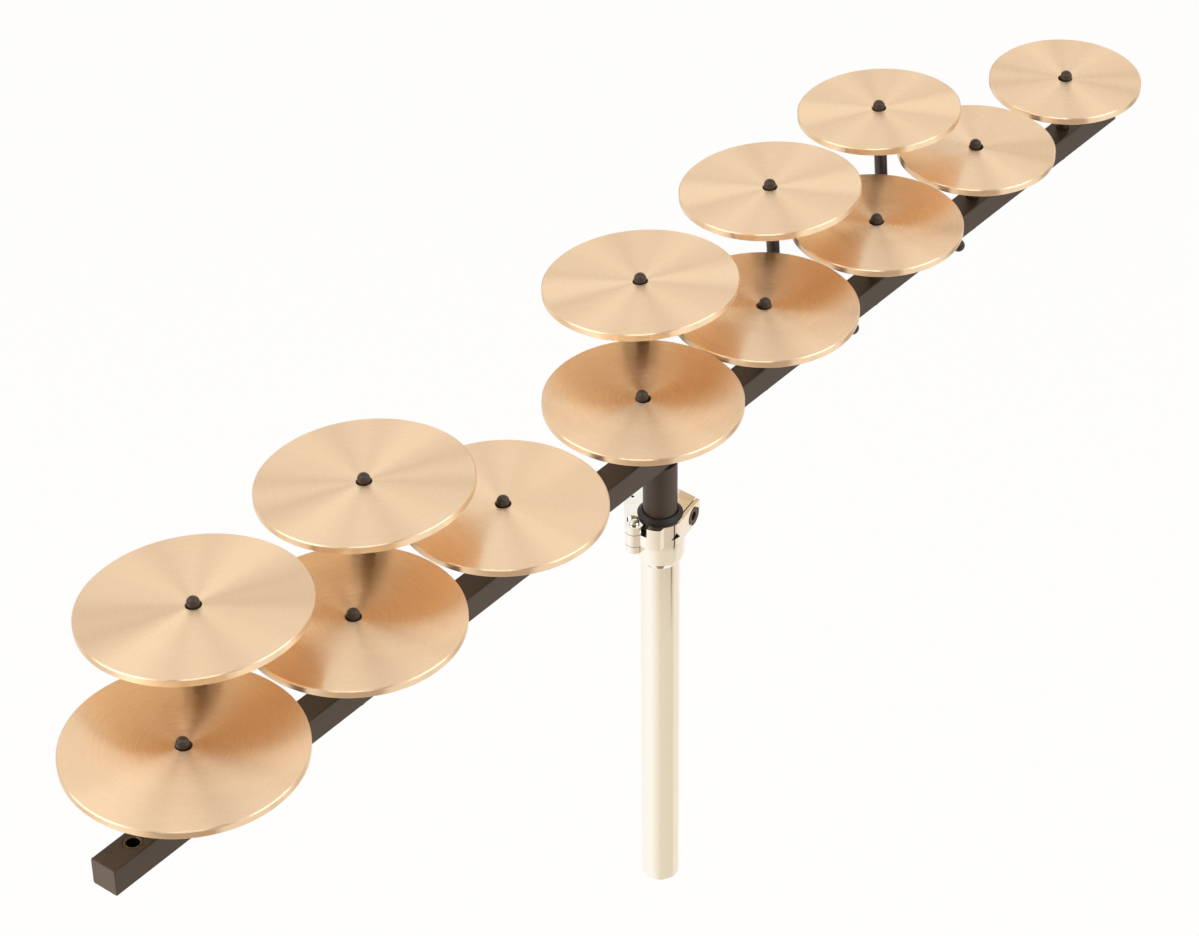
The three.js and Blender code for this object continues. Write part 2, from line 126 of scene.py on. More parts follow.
def make_turned_bronze():
    material, tree, surface = start_material("turned_bell_bronze")
    place = add_node(tree, "TexCoord").outputs["Object"]
    flat = add_node(tree, "VectorMath", {0: place, 1: (1, 1, 0)}, operation="MULTIPLY").outputs[0]
    radius = add_node(tree, "VectorMath", {0: flat}, operation="LENGTH").outputs["Value"]
    rings = add_node(
        tree, "TexNoise",
        {"W": radius, "Scale": per_mm(RING_MM), "Detail": 3.0, "Roughness": 0.7},
        noise_dimensions="1D",
    ).outputs["Fac"]
    stain = add_node(
        tree, "TexNoise",
        {"Vector": place, "Scale": per_mm(STAIN_MM), "Detail": 3.0, "Roughness": 0.55},
    ).outputs["Fac"]
    tone = add_node(
        tree, "Mix",
        {"Factor": rings, "A": linear("FFE2BE"), "B": linear("FFE9CA")},
        data_type="RGBA",
    ).outputs["Result"]
    warm = add_node(
        tree, "MapRange",
        {
            "Value": stain, "From Min": 0.35, "From Max": 0.7,
            "To Min": 0.0, "To Max": STAIN_STRENGTH,
        },
    ).outputs["Result"]
    colour = add_node(
        tree, "Mix",
        {"Factor": warm, "A": tone, "B": linear("F8D8AE")},
        data_type="RGBA",
    ).outputs["Result"]
    rough = add_node(
        tree, "MapRange",
        {
            "Value": rings, "From Min": 0.3, "From Max": 0.7,
            "To Min": RING_ROUGHNESS[0], "To Max": RING_ROUGHNESS[1],
        },
    ).outputs["Result"]
    bump = add_node(
        tree, "Bump", {"Height": rings, "Strength": 0.016, "Distance": RING_HEIGHT_MM * MM},
    )
    tangent = add_node(tree, "Tangent", direction_type="RADIAL", axis="Z")
    links = {
        "Base Color": colour,
        "Roughness": rough,
        "Normal": bump.outputs["Normal"],
        "Tangent": tangent.outputs["Tangent"],
    }
    for name, socket in links.items():
        tree.links.new(socket, surface.inputs[name])
    surface.inputs["Metallic"].default_value = 1.0
    surface.inputs["Anisotropic"].default_value = 1.0
    surface.inputs["Anisotropic Rotation"].default_value = 0.25
    return material


turned_bronze = make_turned_bronze()
print("made", turned_bronze.name)

# %% [markdown]
# ## Black coats
# The bar and its centre post are steel with a satin powder coat, which cures with a very slight
# orange peel. The rods are thinner coated and smoother. Both are a dark brown-black that owes its
# grey to what it reflects, so the colour stays dark and the roughness does the work. Powder that
# was rubbed is a little glossier, which a slow noise in the roughness gives. The bar's two ends
# are painted paler. This is painted light, standing in for the light that falls on the end faces.

# %% Black coats
PEEL_MM = 1.2
RUB_MM = 25
# The painted light on the bar's ends starts this far in from each end.
PAINTED_LIGHT_END_MM = 0.15


def make_black_coat(name, dark, light, rough_low, rough_high, peel_mm, peel_height_mm):
    material, tree, surface = start_material(name)
    place = add_node(tree, "TexCoord").outputs["Object"]
    rub = add_node(
        tree, "TexNoise",
        {"Vector": place, "Scale": per_mm(RUB_MM), "Detail": 5.0, "Roughness": 0.6},
    ).outputs["Fac"]
    peel = add_node(
        tree, "TexNoise",
        {"Vector": place, "Scale": per_mm(peel_mm), "Detail": 2.0, "Roughness": 0.5},
    ).outputs["Fac"]
    colour = add_node(
        tree, "Mix",
        {"Factor": rub, "A": linear(dark), "B": linear(light)},
        data_type="RGBA",
    ).outputs["Result"]
    rough = add_node(
        tree, "MapRange",
        {
            "Value": rub, "From Min": 0.3, "From Max": 0.7,
            "To Min": rough_low, "To Max": rough_high,
        },
    ).outputs["Result"]
    bump = add_node(
        tree, "Bump", {"Height": peel, "Strength": 0.35, "Distance": peel_height_mm * MM},
    ).outputs["Normal"]
    tree.links.new(colour, surface.inputs["Base Color"])
    tree.links.new(rough, surface.inputs["Roughness"])
    tree.links.new(bump, surface.inputs["Normal"])
    surface.inputs["IOR"].default_value = 1.5
    return material


def paint_light_on_ends(coat, from_mm, tone):
    """Paints a bar's coat paler on its two ends, that far from its middle, as painted light."""
    tree = coat.node_tree
    surface = tree.nodes["Principled BSDF"]
    under = surface.inputs["Base Color"].links[0].from_socket
    place = add_node(tree, "TexCoord").outputs["Object"]
    along = add_node(tree, "SeparateXYZ", {0: place}).outputs["X"]
    far = add_node(tree, "Math", {0: along}, operation="ABSOLUTE").outputs["Value"]
    at_end = add_node(
        tree, "Math", {0: far, 1: from_mm * MM}, operation="GREATER_THAN",
    ).outputs["Value"]
    colour = add_node(
        tree, "Mix", {"Factor": at_end, "A": under, "B": linear(tone)}, data_type="RGBA",
    ).outputs["Result"]
    tree.links.new(colour, surface.inputs["Base Color"])


powder_coat = make_black_coat(
    "satin_black_powder_coat", dark="33281E", light="473A2E",
    rough_low=0.36, rough_high=0.46, peel_mm=PEEL_MM, peel_height_mm=0.05,
)
bar_low, bar_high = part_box("bar")
bar_half_mm = (bar_high[0] - bar_low[0]) / 2 / MM
# Painted light: the end faces are painted paler in place of the light that falls on them.
paint_light_on_ends(powder_coat, bar_half_mm - PAINTED_LIGHT_END_MM, "5E5042")
rod_coat = make_black_coat(
    "satin_black_rod_coat", dark="2C231C", light="40342A",
    rough_low=0.3, rough_high=0.4, peel_mm=PEEL_MM / 2, peel_height_mm=0.02,
)
print("made", powder_coat.name, "and", rod_coat.name)

# %% [markdown]
# ## Chrome plate
# The stand tube is drawn steel, polished and plated, so it is nearly a mirror. The clamp is cast
# first, and its plate follows the slow waves that polishing leaves in a casting. Fingers leave
# faint patches where the roughness rises a little.

# %% Chrome plate
SMUDGE_MM = 18
WAVE_MM = 9
TUBE_WAVE_HEIGHT_MM = 0.01
CAST_WAVE_HEIGHT_MM = 0.12


def make_chrome(name, wave_height_mm):
    material, tree, surface = start_material(name)
    place = add_node(tree, "TexCoord").outputs["Object"]
    smudge = add_node(
        tree, "TexNoise",
        {"Vector": place, "Scale": per_mm(SMUDGE_MM), "Detail": 6.0, "Roughness": 0.65},
    ).outputs["Fac"]
    wave = add_node(
        tree, "TexNoise",
        {"Vector": place, "Scale": per_mm(WAVE_MM), "Detail": 1.0, "Roughness": 0.4},
    ).outputs["Fac"]
    rough = add_node(
        tree, "MapRange",
        {"Value": smudge, "From Min": 0.4, "From Max": 0.75, "To Min": 0.03, "To Max": 0.12},
    ).outputs["Result"]
    bump = add_node(
        tree, "Bump", {"Height": wave, "Strength": 0.5, "Distance": wave_height_mm * MM},
    ).outputs["Normal"]
    tree.links.new(rough, surface.inputs["Roughness"])
    tree.links.new(bump, surface.inputs["Normal"])
    surface.inputs["Base Color"].default_value = linear("F6F8F2")
    surface.inputs["Metallic"].default_value = 1.0
    return material


tube_chrome = make_chrome("polished_chrome_tube", TUBE_WAVE_HEIGHT_MM)
cast_chrome = make_chrome("chromed_casting", CAST_WAVE_HEIGHT_MM)
print("made", tube_chrome.name, "and", cast_chrome.name)

# %% [markdown]
# ## Felt, nylon and zinc
# Three small ones. The washers are pressed wool felt: dull, with a soft sheen from its loose
# fibres. The bushing is moulded nylon, whose skin is slightly matt with fine spark-eroded grain.
# The insert in the bar is zinc-plated steel, turned, with its plating dulled.

# %% Felt, nylon and zinc
FIBRE_MM = 0.5
GRAIN_MM = 0.35
BLOOM_MM = 1.5


def make_felt():
    material, tree, surface = start_material("pressed_black_felt")
    place = add_node(tree, "TexCoord").outputs["Object"]
    fibre = add_node(
        tree, "TexNoise",
        {"Vector": place, "Scale": per_mm(FIBRE_MM), "Detail": 4.0, "Distortion": 1.5},
    ).outputs["Fac"]
    colour = add_node(
        tree, "Mix",
        {"Factor": fibre, "A": linear("15110F"), "B": linear("2E2824")},
        data_type="RGBA",
    ).outputs["Result"]
    bump = add_node(tree, "Bump", {"Height": fibre, "Strength": 0.8, "Distance": 0.2 * MM})
    tree.links.new(colour, surface.inputs["Base Color"])
    tree.links.new(bump.outputs["Normal"], surface.inputs["Normal"])
    surface.inputs["Roughness"].default_value = 0.95
    surface.inputs["Sheen Weight"].default_value = 0.3
    return material


def make_nylon():
    material, tree, surface = start_material("moulded_black_nylon")
    place = add_node(tree, "TexCoord").outputs["Object"]
    grain = add_node(
        tree, "TexNoise",
        {"Vector": place, "Scale": per_mm(GRAIN_MM), "Detail": 3.0},
    ).outputs["Fac"]
    rough = add_node(
        tree, "MapRange", {"Value": grain, "To Min": 0.4, "To Max": 0.6},
    ).outputs["Result"]
    bump = add_node(tree, "Bump", {"Height": grain, "Strength": 0.4, "Distance": 0.03 * MM})
    tree.links.new(rough, surface.inputs["Roughness"])
    tree.links.new(bump.outputs["Normal"], surface.inputs["Normal"])
    surface.inputs["Base Color"].default_value = linear("1E1A17")
    surface.inputs["IOR"].default_value = 1.53
    return material


def make_zinc():
    material, tree, surface = start_material("dulled_zinc_plate")
    place = add_node(tree, "TexCoord").outputs["Object"]
    bloom = add_node(
        tree, "TexNoise", {"Vector": place, "Scale": per_mm(BLOOM_MM), "Detail": 4.0},
    ).outputs["Fac"]
    colour = add_node(
        tree, "Mix",
        {"Factor": bloom, "A": linear("4E463C"), "B": linear("766C5E")},
        data_type="RGBA",
    ).outputs["Result"]
    rough = add_node(
        tree, "MapRange", {"Value": bloom, "To Min": 0.3, "To Max": 0.5},
    ).outputs["Result"]
    tree.links.new(colour, surface.inputs["Base Color"])
    tree.links.new(rough, surface.inputs["Roughness"])
    surface.inputs["Metallic"].default_value = 1.0
    return material


black_felt = make_felt()
black_nylon = make_nylon()
zinc_plate = make_zinc()
print("made", black_felt.name + ",", black_nylon.name, "and", zinc_plate.name)

# %% [markdown]
# ## Turned shapes
# Nearly everything here was made in a lathe or drawn as round stock, so the main tool is one
# function that turns a profile round an upright axis. Real edges are never quite sharp: a small
# round catches a thin line of light, so another function rounds the corners of a profile first.
# Each piece keeps its own origin on its axis, which the bronze's rings are centred on.

# %% Turned shapes
ROUND_STEPS = 3
ON_AXIS = 1e-9
CREASE_DEGREES = 35


def rounded(corners, radius):
    """Replaces each corner of a profile by a short curve that starts that far from the corner."""
    points = []
    for i, corner in enumerate(corners):
        here = Vector(corner)
        before = Vector(corners[i - 1]) - here
        after = Vector(corners[(i + 1) % len(corners)]) - here
        reach = min(radius, before.length / 2, after.length / 2)
        start = here + before.normalized() * reach
        end = here + after.normalized() * reach
        for step in range(ROUND_STEPS + 1):
            t = step / ROUND_STEPS
            points.append(tuple(start * (1 - t) ** 2 + here * 2 * t * (1 - t) + end * t ** 2))
    return points


def show_smooth(mesh, crease_degrees=CREASE_DEGREES):
    mesh.polygons.foreach_set("use_smooth", [True] * len(mesh.polygons))
    mesh.set_sharp_from_angle(angle=math.radians(crease_degrees))


def keep_modifiers(piece):
    """Turns what a piece's modifiers make into its own mesh."""
    bpy.context.view_layer.update()
    depsgraph = bpy.context.evaluated_depsgraph_get()
    made = bpy.data.meshes.new_from_object(
        piece.evaluated_get(depsgraph), preserve_all_data_layers=True, depsgraph=depsgraph
    )
    piece.modifiers.clear()
    piece.data = made


def even_shading(piece):
    """Lets a large face set the shading at its edges, so it stays flat beside a small round."""
    even = piece.modifiers.new("even", "WEIGHTED_NORMAL")
    even.keep_sharp = True
    keep_modifiers(piece)


def new_piece(name, mesh, material, place=(0, 0, 0), turn=None):
    piece = bpy.data.objects.new(name, mesh)
    bpy.context.scene.collection.objects.link(piece)
    piece.location = place
    if turn:
        piece.rotation_mode = "QUATERNION"
        piece.rotation_quaternion = turn
    mesh.materials.clear()
    mesh.materials.append(material)
    return piece


def join_rings(grid, rings, sides, closed=False):
    """Joins each ring of points to the next by faces. A ring of one point closes an end."""
    pairs = list(zip(rings, rings[1:]))
    if closed:
        pairs.append((rings[-1], rings[0]))
    for low, high in pairs:
        for k in range(sides):
            corners = [low[k % len(low)], low[(k + 1) % len(low)]]
            corners += [high[(k + 1) % len(high)], high[k % len(high)]]
            face = list(dict.fromkeys(corners))
            if len(face) > 2:
                grid.faces.new(face)


def grid_mesh(grid, name):
    """Turns a finished grid into a mesh whose faces all look outwards."""
    bmesh.ops.recalc_face_normals(grid, faces=grid.faces)
    mesh = bpy.data.meshes.new(name)
    grid.to_mesh(mesh)
    grid.free()
    return mesh


def turned(name, profile, material, place=(0, 0, 0), sides=96, closed=True, turn=None):
    """Turns a profile of (radius, height) round Z. An open one starts and ends on the axis."""
    grid = bmesh.new()
    rings = []
    for radius, height in profile:
        if radius < ON_AXIS:
            rings.append([grid.verts.new((0, 0, height))])
            continue
        angles = [math.tau * k / sides for k in range(sides)]
        points = [(radius * math.cos(a), radius * math.sin(a), height) for a in angles]
        rings.append([grid.verts.new(point) for point in points])
    join_rings(grid, rings, sides, closed)
    mesh = grid_mesh(grid, name)
    show_smooth(mesh)
    piece = new_piece(name, mesh, material, place, turn)
    even_shading(piece)
    return piece


def middle(node):
    """The middle of a node's foot, and its size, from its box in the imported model."""
    low, high = (Vector(corner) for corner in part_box(node))
    return Vector(((low.x + high.x) / 2, (low.y + high.y) / 2, low.z)), high - low


LEAN = math.radians(4.4)


def seated(node, thickness):
    """The foot, the radius and the turn of a flat round piece that leans with its post."""
    low, high = (Vector(corner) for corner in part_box(node))
    turn = Quaternion((1, 0, 0), -LEAN if node.endswith("sharp") else 0)
    foot = (low + high) / 2 - turn @ Vector((0, 0, thickness / 2))
    return foot, (high.x - low.x) / 2, turn


print("helpers for turned shapes are ready")

# %% [markdown]
# ## The discs
# Each disc is flat, with a small chamfer on both edges of the rim and a plain hole. The chamfer is
# what draws the thin bright line round the top in the photograph. The place and the radius are
# read from the solid, and the solid is hidden behind the finer piece. The five raised discs lean
# back by 4.4 degrees, because the rods they stand on are bent a little less than a right angle.

# %% The discs
DISC_THICK = 4.6 * MM
DISC_HOLE = 8.7 * MM
DISC_CHAMFER = 0.6 * MM
EDGE_ROUND = 0.15 * MM

for note in notes:
    foot, rim, turn = seated("disc_" + note, DISC_THICK)
    top, hole = DISC_THICK, DISC_HOLE / 2
    corners = [
        (hole, 0),
        (rim - DISC_CHAMFER, 0),
        (rim, DISC_CHAMFER),
        (rim, top - DISC_CHAMFER),
        (rim - DISC_CHAMFER, top),
        (hole, top),
    ]
    profile = rounded(corners, EDGE_ROUND)
    disc = turned("crotale_" + note, profile, turned_bronze, foot, sides=180, turn=turn)
    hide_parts("disc_" + note)
    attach(disc, "disc_" + note)
    print(f"disc {note}: {2 * rim / MM:.1f} mm across, {top / MM:.1f} mm thick")

# %% [markdown]
# ## The washers
# A felt washer between the disc and its collar keeps the bronze from buzzing. Felt that carries a
# weight bulges at its edge, so its profile is rounder than a metal washer's.

# %% The washers
WASHER_THICK = 2 * MM
WASHER_BORE = 7.6 * MM
FELT_BULGE = 0.9 * MM

for note in notes:
    foot, edge, turn = seated("washer_" + note, WASHER_THICK)
    top, bore = WASHER_THICK, WASHER_BORE / 2
    corners = [(bore, 0), (edge, 0), (edge, top), (bore, top)]
    profile = rounded(corners, FELT_BULGE)
    washer = turned("felt_" + note, profile, black_felt, foot, sides=48, turn=turn)
    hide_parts("washer_" + note)
    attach(washer, "washer_" + note)
print("made", len(notes), "felt washers")

# %% [markdown]
# ## The rod posts
# A natural's post is a straight rod with a rounded foot under the bar, a collar for the washer and
# a slimmer tip with a domed end. A raised post starts as the same rod, but goes through the bar
# from front to back and bends up behind it, 4.4 degrees short of a right angle, as cold-bent rod
# springs back. Both are swept: rings are set one after another along a path, each square to it,
# and joined.

# %% Sweeping rings along a path
ROD = 7.6 * MM
TIP = 7.0 * MM
COLLAR = 14 * MM
COLLAR_THICK = 2 * MM
BEND = 14 * MM
SEAT_TO_COLLAR = 2.6 * MM
COLLAR_EDGE = 0.3 * MM
SEAT_TO_TIP = 9.6 * MM
BEND_STEPS = 16


def swept(name, stations, material, place, sides=40):
    """Joins rings along a path in the YZ plane. A station is (centre, direction, radius)."""
    across = Vector((1, 0, 0))
    grid = bmesh.new()
    rings = []
    for centre, direction, radius in stations:
        if radius < ON_AXIS:
            rings.append([grid.verts.new(centre)])
            continue
        side = across.cross(direction).normalized()
        ring = []
        for k in range(sides):
            angle = math.tau * k / sides
            outwards = across * math.cos(angle) + side * math.sin(angle)
            ring.append(grid.verts.new(centre + radius * outwards))
        rings.append(ring)
    join_rings(grid, rings, sides)
    mesh = grid_mesh(grid, name)
    show_smooth(mesh)
    piece = new_piece(name, mesh, material, place)
    even_shading(piece)
    return piece


def dome(centre, direction, radius, steps=8):
    """Stations of a half ball that ends a rod, from its equator to its pole."""
    stations = []
    for i in range(steps + 1):
        angle = math.pi / 2 * i / steps
        ring = radius * math.cos(angle) if i < steps else 0
        stations.append((centre + direction * radius * math.sin(angle), direction, ring))
    return stations


UP = Vector((0, 0, 1))
FRONT = Vector((0, -1, 0))
print("helpers for swept rods are ready")

# %% [markdown]
# ### One post for each note
# A raised post is worked out backwards: its bend is placed so that the straight part above it ends
# square under the middle of its disc. All the posts are fixed in the bar and move with it.

# %% The rod posts


def rod_post(note):
    raised = note.endswith("sharp")
    seat, _, turn = seated("disc_" + note, DISC_THICK)
    low, high = (Vector(corner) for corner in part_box("post_" + note))
    x = (low.x + high.x) / 2
    up = turn @ UP
    rod, tip, collar = ROD / 2, TIP / 2, COLLAR / 2
    if raised:
        level = low.z + rod
        rise = BEND * (1 - up.y)
        slope = (seat.z - level - rise) / up.z
        bend_start = seat.y - BEND * up.z - slope * up.y
        front_end = dome(Vector((0, low.y + rod, level)), FRONT, rod)
        path = [(c, -d, r) for c, d, r in reversed(front_end)]
        for i in range(BEND_STEPS + 1):
            angle = (math.pi / 2 - LEAN) * i / BEND_STEPS
            along, climb = math.sin(angle), math.cos(angle)
            centre = Vector((0, bend_start + BEND * along, level + BEND * (1 - climb)))
            path.append((centre, Vector((0, climb, along)), rod))
    else:
        foot = Vector((0, (low.y + high.y) / 2, low.z + rod))
        path = [(c, -d, r) for c, d, r in reversed(dome(foot, -UP, rod))]
    start = Vector((0, seat.y if raised else (low.y + high.y) / 2, seat.z))
    edge, top = COLLAR_EDGE, -SEAT_TO_COLLAR
    for height, radius in [
        (top - COLLAR_THICK, rod),
        (top - COLLAR_THICK, collar - edge),
        (top - COLLAR_THICK + edge, collar),
        (top - edge, collar),
        (top, collar - edge),
        (top, tip),
    ]:
        path.append((start + up * height, up, radius))
    path += dome(start + up * (SEAT_TO_TIP - tip), up, tip)
    shift = Vector((0, start.y, 0))
    path = [(centre - shift, direction, radius) for centre, direction, radius in path]
    return swept("rod_" + note, path, rod_coat, (x, start.y, 0))


for note in notes:
    post = rod_post(note)
    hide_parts("post_" + note)
    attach(post, "bar")
print("made", len(notes), "posts")

# %% [markdown]
# ## The bar
# The bar is square steel stock with rounded corners. Its section is drawn once and pulled along
# X, a little smaller at the two ends, since powder coat draws back from an edge. Then the posts'
# bores and the hole for the insert are cut with a Boolean.

# %% The bar
BAR_ROUND = 1.0 * MM
BAR_END_BEVEL = 0.4 * MM
BORE_GAP = 0.3 * MM
BORE_HALF_LONG = 20 * MM
CORNER_STEPS = 6
FLAT_CREASE_DEGREES = 30


def cylinder_cutter(centre, axis, radius, half_length, sides=48):
    tool = bmesh.new()
    bmesh.ops.create_cone(
        tool, cap_ends=True, segments=sides, radius1=radius, radius2=radius, depth=2 * half_length
    )
    turn = UP.rotation_difference(Vector(axis)).to_matrix().to_4x4()
    bmesh.ops.transform(tool, matrix=turn, verts=tool.verts)
    bmesh.ops.translate(tool, vec=centre, verts=tool.verts)
    return tool


def cut(piece, cutters):
    """Cuts closed tools out of a piece with one Boolean, and keeps the result as its mesh.
    The tools are placed in the piece's own frame."""
    joined = bmesh.new()
    for tool in cutters:
        loose = bpy.data.meshes.new("cutter")
        tool.to_mesh(loose)
        tool.free()
        joined.from_mesh(loose)
        bpy.data.meshes.remove(loose)
    mesh = bpy.data.meshes.new("cutters")
    joined.to_mesh(mesh)
    joined.free()
    holder = bpy.data.objects.new("cutters", mesh)
    bpy.context.scene.collection.objects.link(holder)
    holder.location = piece.location
    holder.rotation_mode = piece.rotation_mode
    holder.rotation_quaternion = piece.rotation_quaternion
    boolean = piece.modifiers.new("cut", "BOOLEAN")
    boolean.operation = "DIFFERENCE"
    boolean.object = holder
    boolean.solver = "EXACT"
    keep_modifiers(piece)
    bpy.data.objects.remove(holder)


def bar_piece():
    low, high = (Vector(corner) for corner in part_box("bar"))
    half = (high - low) / 2
    corner = half.y - BAR_ROUND
    section = []
    for quarter in range(4):
        for step in range(CORNER_STEPS + 1):
            angle = math.pi / 2 * (quarter + step / CORNER_STEPS)
            sign_y = 1 if quarter in (0, 3) else -1
            sign_z = 1 if quarter in (0, 1) else -1
            y = sign_y * corner + BAR_ROUND * math.cos(angle)
            z = sign_z * corner + BAR_ROUND * math.sin(angle)
            section.append((y, z))
    ends = [(-half.x, BAR_END_BEVEL), (BAR_END_BEVEL - half.x, 0)]
    ends += [(half.x - BAR_END_BEVEL, 0), (half.x, BAR_END_BEVEL)]
    grid = bmesh.new()
    rings = []
    for x, inset in ends:
        share = 1 - inset / half.y
        rings.append([grid.verts.new((x, y * share, z * share)) for y, z in section])
    join_rings(grid, rings, len(section))
    grid.faces.new(rings[0])
    grid.faces.new(rings[-1])
    return new_piece("square_bar", grid_mesh(grid, "square_bar"), powder_coat, (low + high) / 2)


bar = bar_piece()
tools = []
for note in notes:
    low, high = (Vector(corner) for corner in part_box("post_" + note))
    centre = Vector(((low.x + high.x) / 2, 0, bar.location.z)) - bar.location
    axis = (0, 1, 0) if note.endswith("sharp") else (0, 0, 1)
    tools.append(cylinder_cutter(centre, axis, ROD / 2 + BORE_GAP, BORE_HALF_LONG))
insert_foot, insert_size = middle("bar_end_insert")
tools.append(cylinder_cutter(
    insert_foot + Vector((0, 0, insert_size.z)) - bar.location,
    (0, 0, 1), insert_size.x / 2 + BORE_GAP, insert_size.z,
))
cut(bar, tools)
show_smooth(bar.data, FLAT_CREASE_DEGREES)
even_shading(bar)
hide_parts("bar")
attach(bar, "bar")
print("bar has", len(bar.data.polygons), "faces after", len(tools), "cuts")

# %% [markdown]
# ## The insert, the centre post and the bushing
# These are plain turned pieces. The insert is a steel ring with a chamfered mouth. The centre post
# has a small chamfer at its foot and a spigot that goes up into the bar. The bushing's rim rises
# out of the clamp as a low cone round the post.

# %% The insert, the centre post and the bushing
INSERT_HOLE = 6.8 * MM
INSERT_CHAMFER = 0.5 * MM
INSERT_ROUND = 0.1 * MM
POST_CHAMFER = 0.8 * MM
SPIGOT = 12 * MM
SPIGOT_LONG = 9 * MM
BUSHING_BORE = 20.1 * MM
BUSHING_RIM = 2.4 * MM
BUSHING_LAND = 0.6 * MM
BUSHING_ROUND = 0.2 * MM

outer, inner, top = insert_size.x / 2, INSERT_HOLE / 2, insert_size.z
insert_corners = [
    (inner, 0),
    (outer, 0),
    (outer, top),
    (inner + INSERT_CHAMFER, top),
    (inner, top - INSERT_CHAMFER),
]
profile = rounded(insert_corners, INSERT_ROUND)
insert = turned("steel_insert", profile, zinc_plate, insert_foot, sides=64)
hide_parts("bar_end_insert")
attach(insert, "bar")

foot, size = middle("centre_post")
radius, shoulder = size.x / 2, size.z - SPIGOT_LONG
post_profile = [
    (0, 0),
    (radius - POST_CHAMFER, 0),
    (radius, POST_CHAMFER),
    (radius, shoulder - EDGE_ROUND),
    (radius - EDGE_ROUND, shoulder),
    (SPIGOT / 2, shoulder),
    (SPIGOT / 2, size.z),
    (0, size.z),
]
centre_post = turned("centre_rod", post_profile, powder_coat, foot, closed=False)
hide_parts("centre_post")
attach(centre_post, "bar")

foot, size = middle("bushing")
radius, bore = size.x / 2, BUSHING_BORE / 2
bushing_corners = [
    (bore, 0),
    (radius, 0),
    (radius, size.z - BUSHING_RIM),
    (bore + BUSHING_LAND, size.z),
    (bore, size.z),
]
bushing = turned("nylon_bushing", rounded(bushing_corners, BUSHING_ROUND), black_nylon, foot)
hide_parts("bushing")
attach(bushing, "bushing")
print("made the insert, the centre post and the bushing")

# %% [markdown]
# ## The stand tube
# A drawn tube with a thin wall. Its lower end is deburred, so the edge is turned in a little.

# %% The stand tube
TUBE_WALL = 1.0 * MM
TUBE_TURN_IN = 0.3 * MM
TUBE_ROUND = 0.25 * MM

foot, size = middle("stand_tube")
outer = size.x / 2
inner = outer - TUBE_WALL
tube_corners = [
    (inner, 0),
    (outer - TUBE_TURN_IN, 0),
    (outer, TUBE_TURN_IN),
    (outer, size.z),
    (inner, size.z),
]
tube = turned("chrome_tube", rounded(tube_corners, TUBE_ROUND), tube_chrome, foot, sides=128)
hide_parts("stand_tube")
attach(tube, "stand")
print(f"tube {size.x / MM:.1f} mm across and {size.z / MM:.0f} mm long")

# %% [markdown]
# ## The clamp
# The clamp's two castings have flats, lugs and a counterbore, which the solids already hold. A
# cast and plated edge is round, though, and chrome shows every edge by its highlight. So each
# solid's mesh is copied, its flat triangles are merged into whole faces, and a bevel rounds the
# edges. The screws are turned: a domed head for the hinge, and a head with a hexagon socket for
# the one that draws the jaw shut.

# %% The clamp's castings
CAST_ROUND = 0.45 * MM
CAST_ROUND_STEPS = 3
SAME_POINT = 0.001 * MM
SAME_FACE_DEGREES = 0.5
BEVEL_FROM_DEGREES = 40


def softened(node, name, body):
    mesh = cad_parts[node].data.copy()
    grid = bmesh.new()
    grid.from_mesh(mesh)
    bmesh.ops.remove_doubles(grid, verts=grid.verts, dist=SAME_POINT)
    bmesh.ops.dissolve_limit(
        grid, angle_limit=math.radians(SAME_FACE_DEGREES), verts=grid.verts, edges=grid.edges
    )
    grid.to_mesh(mesh)
    grid.free()
    show_smooth(mesh, FLAT_CREASE_DEGREES)
    piece = new_piece(name, mesh, cast_chrome)
    bevel = piece.modifiers.new("round", "BEVEL")
    bevel.width = CAST_ROUND
    bevel.segments = CAST_ROUND_STEPS
    bevel.limit_method = "ANGLE"
    bevel.angle_limit = math.radians(BEVEL_FROM_DEGREES)
    keep_modifiers(piece)
    show_smooth(piece.data, FLAT_CREASE_DEGREES)
    even_shading(piece)
    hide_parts(node)
    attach(piece, body)
    return piece


clamp_body = softened("clamp_body", "clamp_casting", "stand")
clamp_jaw = softened("clamp_jaw", "jaw_casting", "jaw")
counts = [len(casting.data.polygons) for casting in (clamp_body, clamp_jaw)]
print("clamp castings have", counts[0], "and", counts[1], "faces")

# %% [markdown]
# ### The clamp's screws
# The hinge screw stands upright under a low dome. The clamp screw lies level and is turned with
# the clamp, 10 degrees off the bar's depth, so that its head faces out of the jaw's ear.

# %% The clamp's screws
HINGE_PIN = 3.2 * MM
HINGE_HEAD_SIDE = 0.5 * MM
HINGE_DOME = 1.3 * MM
HINGE_DOME_STEPS = 9

foot, size = middle("hinge_screw")
head, pin = size.x / 2, HINGE_PIN / 2
crown = size.z - HINGE_DOME
profile = [(0, 0), (pin, 0), (pin, crown - HINGE_HEAD_SIDE), (head, crown - HINGE_HEAD_SIDE)]
for step in range(HINGE_DOME_STEPS + 1):
    angle = math.pi / 2 * step / HINGE_DOME_STEPS
    across = head * math.cos(angle) if step < HINGE_DOME_STEPS else 0
    profile.append((across, crown + HINGE_DOME * math.sin(angle)))
hinge = turned("domed_hinge_screw", profile, tube_chrome, foot, sides=64, closed=False)
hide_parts("hinge_screw")
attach(hinge, "stand")

CLAMP_TURN = math.radians(10)
SCREW_SHANK = 5.6 * MM
SCREW_HEAD_THICK = 0.9 * MM
SCREW_LONG = 5.8 * MM
SOCKET_FLATS = 5 * MM
SOCKET_DEEP = 2.5 * MM

